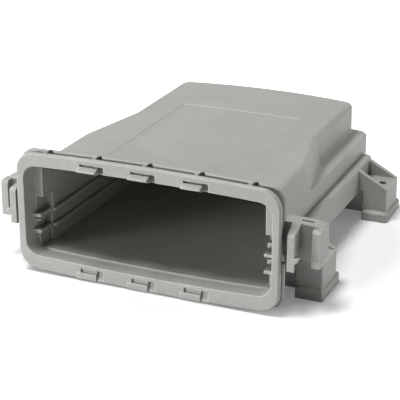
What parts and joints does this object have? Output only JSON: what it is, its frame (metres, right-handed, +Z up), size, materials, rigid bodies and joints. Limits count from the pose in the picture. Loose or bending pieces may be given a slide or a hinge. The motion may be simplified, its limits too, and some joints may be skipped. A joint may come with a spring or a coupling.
{
  "type": "moulded plastic control unit housing",
  "caption": "Low cup-shaped plastic housing with a wide rounded mouth collar, guide rails inside, screw feet and side hooks.",
  "frame": {"origin": "centre of the bounding box, at the level of the feet", "axes": "+X across the mouth to the right as seen from the mouth, +Y from the mouth towards the closed end, +Z up from the feet to the roof"},
  "size_m": [0.2024, 0.2062, 0.0767],
  "materials": {
    "grey_plastic": "satin grey glass-filled thermoplastic with a fine moulded texture"
  },
  "bodies": {
    "root": {"housing": "grey_plastic"}
  },
  "joints": []
}
